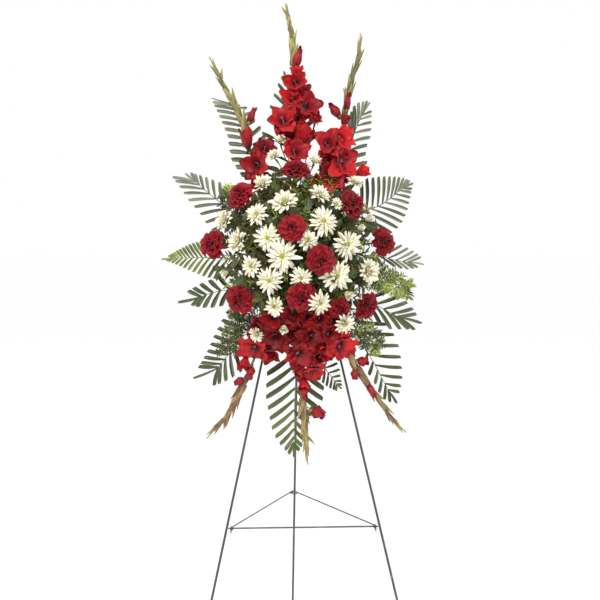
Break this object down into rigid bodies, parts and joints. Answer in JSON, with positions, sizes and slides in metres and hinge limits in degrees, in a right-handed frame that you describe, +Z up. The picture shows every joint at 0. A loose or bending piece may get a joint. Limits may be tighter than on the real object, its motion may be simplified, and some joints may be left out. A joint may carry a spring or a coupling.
{
  "type": "standing funeral spray",
  "caption": "Standing spray of red gladioli and carnations, white chrysanthemums and palm fronds in a caged foam holder on a folding wire easel.",
  "frame": {"origin": "on the floor, under the middle of the overall box", "axes": "+Z up, -Y towards the viewer of the flowers, +X to the viewer's right"},
  "size_m": [0.6812, 0.6645, 1.8213],
  "materials": {
    "easel_green": "satin",
    "cage_green": "satin",
    "foam_green": "matte",
    "tie_green": "satin",
    "gladiolus_red": "satin",
    "carnation_red": "matte",
    "mum_white": "matte",
    "palm_green": "satin",
    "filler_green": "satin"
  },
  "bodies": {
    "stand": {"brace_front": "easel_green", "cage_grid": "cage_green", "cage_tray": "cage_green", "carnation_left": "carnation_red", "carnation_lower_inner": "carnation_red", "carnation_lower_left": "carnation_red", "carnation_lower_middle": "carnation_red", "carnation_lower_right": "carnation_red", "carnation_middle": "carnation_red", "carnation_right": "carnation_red", "carnation_top": "carnation_red", "carnation_upper_left": "carnation_red", "carnation_upper_middle": "carnation_red", "carnation_upper_right": "carnation_red", "filler_lower_left": "filler_green", "filler_lower_right": "filler_green", "filler_right": "filler_green", "filler_upper_left": "filler_green", "foam_block": "foam_green", "frond_bottom_centre": "palm_green", "frond_bottom_small": "palm_green", "frond_left_lower": "palm_green", "frond_left_middle": "palm_green", "frond_left_upper": "palm_green", "frond_lower_left": "palm_green", "frond_right_grey": "palm_green", "frond_right_lower": "palm_green", "frond_right_middle": "palm_green", "frond_right_upper": "palm_green", "frond_upper_centre": "palm_green", "frond_upper_left": "palm_green", "frond_upper_right": "palm_green", "gladiolus_bottom_centre": "gladiolus_red", "gladiolus_bottom_left": "gladiolus_red", "gladiolus_bottom_right": "gladiolus_red", "gladiolus_top_centre": "gladiolus_red", "gladiolus_top_left": "gladiolus_red", "gladiolus_top_right": "gladiolus_red", "hinge_bar": "easel_green", "leg_left": "easel_green", "leg_right": "easel_green", "mum_spray_centre_left": "mum_white", "mum_spray_centre_right": "mum_white", "mum_spray_left": "mum_white", "mum_spray_left_low": "mum_white", "mum_spray_low_middle": "mum_white", "mum_spray_right": "mum_white", "mum_spray_right_low": "mum_white", "mum_spray_top": "mum_white", "tie_left": "tie_green", "tie_right": "tie_green"},
    "rear_leg": {"leg_rear": "easel_green"},
    "rear_brace": {"brace_rear_left": "easel_green", "brace_rear_right": "easel_green"}
  },
  "joints": [
    {"name": "rear_leg_fold", "type": "hinge", "parent": "stand", "child": "rear_leg", "pos_m": [0.019, -0.05387, 1.27], "axis": [-1, 0, 0], "range_deg": [0, 28.4]},
    {"name": "rear_brace_fold", "type": "hinge", "parent": "stand", "child": "rear_brace", "pos_m": [0.019, -0.22816, 0.45], "axis": [1, 0, 0], "range_deg": [0, 76.2]}
  ],
  "couplings": [
    {"joint": "rear_brace_fold", "follows": "rear_leg_fold", "ratio": 2.676}
  ]
}
